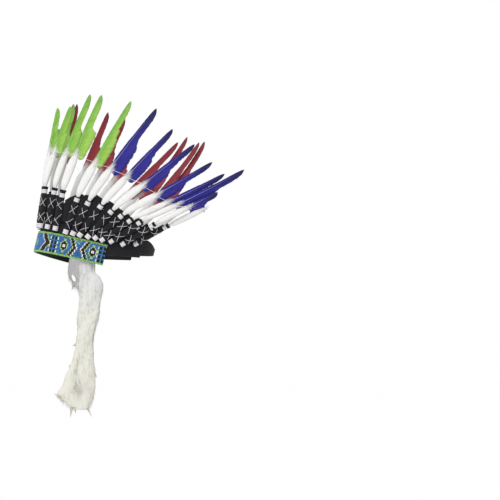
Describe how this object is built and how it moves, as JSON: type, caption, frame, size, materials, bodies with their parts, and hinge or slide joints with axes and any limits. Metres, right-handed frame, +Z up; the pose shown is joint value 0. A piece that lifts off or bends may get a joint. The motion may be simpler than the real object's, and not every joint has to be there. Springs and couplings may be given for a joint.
{
  "type": "feathered headdress",
  "caption": "Headdress of swept-back dyed feathers in black felt sleeves on a felt headband, with a beaded strip round the front and a long white fur drop at each side.",
  "frame": {"origin": "middle of the oval head opening, at the height of the beaded strip's middle, where the head sits", "axes": "+Z up, the wearer faces -Y and the wearer's left is +X; the crown tilts back 13.6 degrees about X, its front high"},
  "size_m": [0.3034, 0.3335, 0.5233],
  "materials": {
    "black_felt": "matt pressed felt",
    "sleeve_felt": "matt pressed felt, with white thread wraps",
    "beads": "opaque glass seed beads, blue ground with green borders",
    "feather_green": "dyed goose feather, green over a white fluffy base",
    "feather_blue": "dyed goose feather, blue over a white fluffy base",
    "feather_red": "dyed goose feather, red over a white fluffy base",
    "white_fur": "soft off-white fur"
  },
  "bodies": {
    "root": {"headband": "black_felt", "beaded_strip": "beads", "back_strap": "black_felt", "sleeve_left_01": "sleeve_felt", "feather_left_01": "feather_green", "sleeve_left_02": "sleeve_felt", "feather_left_02": "feather_green", "sleeve_left_03": "sleeve_felt", "feather_left_03": "feather_green", "sleeve_left_04": "sleeve_felt", "feather_left_04": "feather_green", "sleeve_left_05": "sleeve_felt", "feather_left_05": "feather_blue", "sleeve_left_06": "sleeve_felt", "feather_left_06": "feather_blue", "sleeve_left_07": "sleeve_felt", "feather_left_07": "feather_blue", "sleeve_left_08": "sleeve_felt", "feather_left_08": "feather_blue", "sleeve_left_09": "sleeve_felt", "feather_left_09": "feather_blue", "sleeve_left_10": "sleeve_felt", "feather_left_10": "feather_blue", "sleeve_left_11": "sleeve_felt", "feather_left_11": "feather_blue", "sleeve_left_12": "sleeve_felt", "feather_left_12": "feather_blue", "sleeve_front": "sleeve_felt", "feather_front": "feather_green", "sleeve_right_01": "sleeve_felt", "feather_right_01": "feather_green", "sleeve_right_02": "sleeve_felt", "feather_right_02": "feather_green", "sleeve_right_03": "sleeve_felt", "feather_right_03": "feather_red", "sleeve_right_04": "sleeve_felt", "feather_right_04": "feather_red", "sleeve_right_05": "sleeve_felt", "feather_right_05": "feather_red", "sleeve_right_06": "sleeve_felt", "feather_right_06": "feather_red", "sleeve_right_07": "sleeve_felt", "feather_right_07": "feather_red", "sleeve_right_08": "sleeve_felt", "feather_right_08": "feather_red", "sleeve_right_09": "sleeve_felt", "feather_right_09": "feather_red", "sleeve_right_10": "sleeve_felt", "feather_right_10": "feather_red", "sleeve_right_11": "sleeve_felt", "feather_right_11": "feather_red", "sleeve_right_12": "sleeve_felt", "feather_right_12": "feather_red", "fur_drop_left": "white_fur", "fur_drop_right": "white_fur"}
  },
  "joints": []
}
